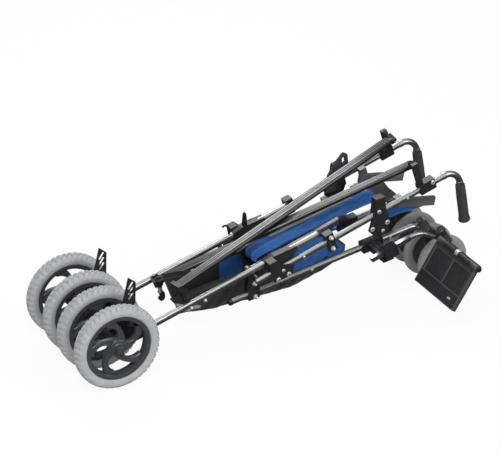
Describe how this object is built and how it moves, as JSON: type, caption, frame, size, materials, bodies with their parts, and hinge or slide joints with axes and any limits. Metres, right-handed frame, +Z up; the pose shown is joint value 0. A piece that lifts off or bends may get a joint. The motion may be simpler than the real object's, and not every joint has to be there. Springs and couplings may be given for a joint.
{
  "type": "special needs buggy",
  "caption": "Folding push buggy for a disabled child, folded flat, with twin rear wheels, casters, push canes, crossed brace bars, cloth seat and a footplate.",
  "frame": {"origin": "middle of the bounding box, on the floor under the folded buggy", "axes": "+X from the rear wheels to the handles and casters, +Y to the far side, +Z up"},
  "size_m": [1.4904, 0.6926, 0.4943],
  "materials": {
    "grey_tyre": "matte",
    "caster_tyre": "matte",
    "silver_tube": "satin",
    "grey_bar": "anodised",
    "foam": "foam",
    "black_cloth": "woven",
    "blue_cloth": "woven",
    "grey_webbing": "webbing",
    "black_plastic": "matte"
  },
  "bodies": {
    "near_axle": {"n_axle": "silver_tube"},
    "near_leg": {"n_rear_leg": "silver_tube", "n_carrier": "black_plastic", "n_y_bracket": "black_plastic"},
    "far_leg": {"f_rear_leg": "silver_tube", "f_carrier": "black_plastic", "f_y_bracket": "black_plastic", "f_axle": "silver_tube"},
    "near_cane": {"n_cane": "silver_tube", "n_grip": "foam", "n_cane_hub": "black_plastic", "n_cane_clamp": "black_plastic", "n_handle_bracket": "black_plastic", "n_back_stay": "grey_bar", "back_panel": "blue_cloth", "webbing": "grey_webbing"},
    "far_cane": {"f_cane": "silver_tube", "f_grip": "foam", "f_cane_hub": "black_plastic", "f_cane_clamp": "black_plastic", "f_handle_bracket": "black_plastic", "f_back_stay": "grey_bar"},
    "near_front": {"n_front_leg": "silver_tube", "n_lower_clamp": "black_plastic", "n_socket": "black_plastic"},
    "far_front": {"f_front_leg": "silver_tube", "f_lower_clamp": "black_plastic", "f_socket": "black_plastic"},
    "near_seat": {"n_seat_rail": "silver_tube", "seat_sling": "black_cloth"},
    "far_seat": {"f_seat_rail": "silver_tube"},
    "over_bar": {"bar_over": "grey_bar", "bar_over_caps": "black_plastic"},
    "under_bar": {"bar_under": "grey_bar", "bar_under_caps": "black_plastic"},
    "near_outer_wheel": {"n_tyre_out": "grey_tyre", "n_rim_out": "black_plastic"},
    "near_inner_wheel": {"n_tyre_in": "grey_tyre", "n_rim_in": "black_plastic"},
    "far_outer_wheel": {"f_tyre_out": "grey_tyre", "f_rim_out": "black_plastic"},
    "far_inner_wheel": {"f_tyre_in": "grey_tyre", "f_rim_in": "black_plastic"},
    "near_brake": {"n_brake": "black_plastic"},
    "far_brake": {"f_brake": "black_plastic"},
    "near_caster": {"n_caster_fork": "black_plastic"},
    "far_caster": {"f_caster_fork": "black_plastic"},
    "near_caster_outer": {"n_caster_out": "caster_tyre"},
    "near_caster_inner": {"n_caster_in": "caster_tyre"},
    "far_caster_outer": {"f_caster_out": "caster_tyre"},
    "far_caster_inner": {"f_caster_in": "caster_tyre"},
    "near_hanger": {"n_hanger": "silver_tube"},
    "far_hanger": {"f_hanger": "silver_tube"},
    "swing_bracket": {"swing_bracket": "black_plastic"},
    "footplate": {"footplate": "black_plastic"},
    "lock_lever": {"lock_lever": "black_plastic"}
  },
  "joints": [
    {"name": "frame_fold", "type": "hinge", "parent": "near_axle", "child": "near_leg", "pos_m": [-0.5992, -0.0023, 0.146], "axis": [0, -1, 0], "range_deg": [0, 50]},
    {"name": "far_leg_spread", "type": "slide", "parent": "near_leg", "child": "far_leg", "axis": [0, 1, 0], "range_m": [0, 0.20005]},
    {"name": "cane_fold", "type": "hinge", "parent": "near_leg", "child": "near_cane", "pos_m": [0.02101, -0.0183, 0.23413], "axis": [0, -1, 0], "range_deg": [0, 58.01]},
    {"name": "far_cane_spread", "type": "slide", "parent": "near_cane", "child": "far_cane", "axis": [0, 1, 0], "range_m": [0, 0.20005], "deforming": ["back_panel", "webbing"]},
    {"name": "front_leg_fold", "type": "hinge", "parent": "near_cane", "child": "near_front", "pos_m": [-0.05956, 0.0367, 0.21049], "axis": [0, -1, 0], "range_deg": [-145.03, 0]},
    {"name": "far_front_spread", "type": "slide", "parent": "near_front", "child": "far_front", "axis": [0, 1, 0], "range_m": [0, 0.20005]},
    {"name": "seat_fold", "type": "hinge", "parent": "near_cane", "child": "near_seat", "pos_m": [-0.05956, 0.0627, 0.21049], "axis": [0, -1, 0], "range_deg": [-123.01, 0]},
    {"name": "far_seat_spread", "type": "slide", "parent": "near_seat", "child": "far_seat", "axis": [0, 1, 0], "range_m": [0, 0.20005], "deforming": ["seat_sling"]},
    {"name": "over_bar_swing", "type": "hinge", "parent": "far_cane", "child": "over_bar", "pos_m": [0.58254, 0.23024, 0.46295], "axis": [-0.3149, 0.8461, 0.43], "range_deg": [0, 21.01]},
    {"name": "under_bar_swing", "type": "hinge", "parent": "near_cane", "child": "under_bar", "pos_m": [0.5363, 0.01946, 0.46942], "axis": [0.3149, 0.8461, -0.43], "range_deg": [0, 23.01]},
    {"name": "near_outer_wheel_spin", "type": "hinge", "parent": "near_axle", "child": "near_outer_wheel", "pos_m": [-0.5992, -0.0703, 0.146], "axis": [0, 1, 0], "continuous": true},
    {"name": "near_inner_wheel_spin", "type": "hinge", "parent": "near_axle", "child": "near_inner_wheel", "pos_m": [-0.5992, 0.0657, 0.146], "axis": [0, 1, 0], "continuous": true},
    {"name": "far_outer_wheel_spin", "type": "hinge", "parent": "far_leg", "child": "far_outer_wheel", "pos_m": [-0.5992, 0.3157, 0.146], "axis": [0, 1, 0], "continuous": true},
    {"name": "far_inner_wheel_spin", "type": "hinge", "parent": "far_leg", "child": "far_inner_wheel", "pos_m": [-0.5992, 0.1797, 0.146], "axis": [0, 1, 0], "continuous": true},
    {"name": "near_brake_pedal", "type": "hinge", "parent": "near_leg", "child": "near_brake", "pos_m": [-0.53585, 0.0097, 0.20355], "axis": [0, 1, 0], "range_deg": [0, 22]},
    {"name": "near_caster_swivel", "type": "hinge", "parent": "near_front", "child": "near_caster", "pos_m": [0.60257, 0.0277, 0.20812], "axis": [-0.5688, 0, 0.8224], "range_deg": [-24, 24]},
    {"name": "near_caster_outer_spin", "type": "hinge", "parent": "near_caster", "child": "near_caster_outer", "pos_m": [0.63996, -0.0193, 0.09523], "axis": [0, 1, 0], "continuous": true},
    {"name": "near_caster_inner_spin", "type": "hinge", "parent": "near_caster", "child": "near_caster_inner", "pos_m": [0.63996, 0.0747, 0.09523], "axis": [0, 1, 0], "continuous": true},
    {"name": "near_legrest_length", "type": "slide", "parent": "near_front", "child": "near_hanger", "axis": [0.958, 0, 0.2869], "range_m": [0, 0.04]},
    {"name": "far_brake_pedal", "type": "hinge", "parent": "far_leg", "child": "far_brake", "pos_m": [-0.53585, 0.2357, 0.20355], "axis": [0, 1, 0], "range_deg": [0, 22]},
    {"name": "far_caster_swivel", "type": "hinge", "parent": "far_front", "child": "far_caster", "pos_m": [0.60257, 0.2177, 0.20812], "axis": [-0.5688, 0, 0.8224], "range_deg": [-24, 24]},
    {"name": "far_caster_outer_spin", "type": "hinge", "parent": "far_caster", "child": "far_caster_outer", "pos_m": [0.63996, 0.2647, 0.09523], "axis": [0, 1, 0], "continuous": true},
    {"name": "far_caster_inner_spin", "type": "hinge", "parent": "far_caster", "child": "far_caster_inner", "pos_m": [0.63996, 0.1707, 0.09523], "axis": [0, 1, 0], "continuous": true},
    {"name": "far_legrest_length", "type": "slide", "parent": "far_front", "child": "far_hanger", "axis": [0.958, 0, 0.2869], "range_m": [0, 0.04]},
    {"name": "footplate_swing", "type": "hinge", "parent": "near_hanger", "child": "swing_bracket", "pos_m": [0.5965, -0.0823, 0.24827], "axis": [-0.5688, 0, 0.8224], "range_deg": [0, 180.01]},
    {"name": "footplate_flip", "type": "hinge", "parent": "swing_bracket", "child": "footplate", "pos_m": [0.5811, -0.1773, 0.23163], "axis": [0, -1, 0], "range_deg": [-70, 30]},
    {"name": "lock_lever_turn", "type": "hinge", "parent": "far_cane", "child": "lock_lever", "pos_m": [0.35136, 0.2417, 0.33151], "axis": [0, -1, 0], "range_deg": [0, 25]}
  ],
  "couplings": [
    {"joint": "far_leg_spread", "follows": "frame_fold", "m_per_rad": 0.22918},
    {"joint": "cane_fold", "follows": "frame_fold", "ratio": 1.16},
    {"joint": "far_cane_spread", "follows": "frame_fold", "m_per_rad": 0.22918},
    {"joint": "front_leg_fold", "follows": "frame_fold", "ratio": -2.9004},
    {"joint": "far_front_spread", "follows": "frame_fold", "m_per_rad": 0.22918},
    {"joint": "seat_fold", "follows": "frame_fold", "ratio": -2.46},
    {"joint": "far_seat_spread", "follows": "frame_fold", "m_per_rad": 0.22918},
    {"joint": "over_bar_swing", "follows": "frame_fold", "ratio": 0.42},
    {"joint": "under_bar_swing", "follows": "frame_fold", "ratio": 0.46},
    {"joint": "footplate_swing", "follows": "frame_fold", "ratio": 3.6}
  ]
}
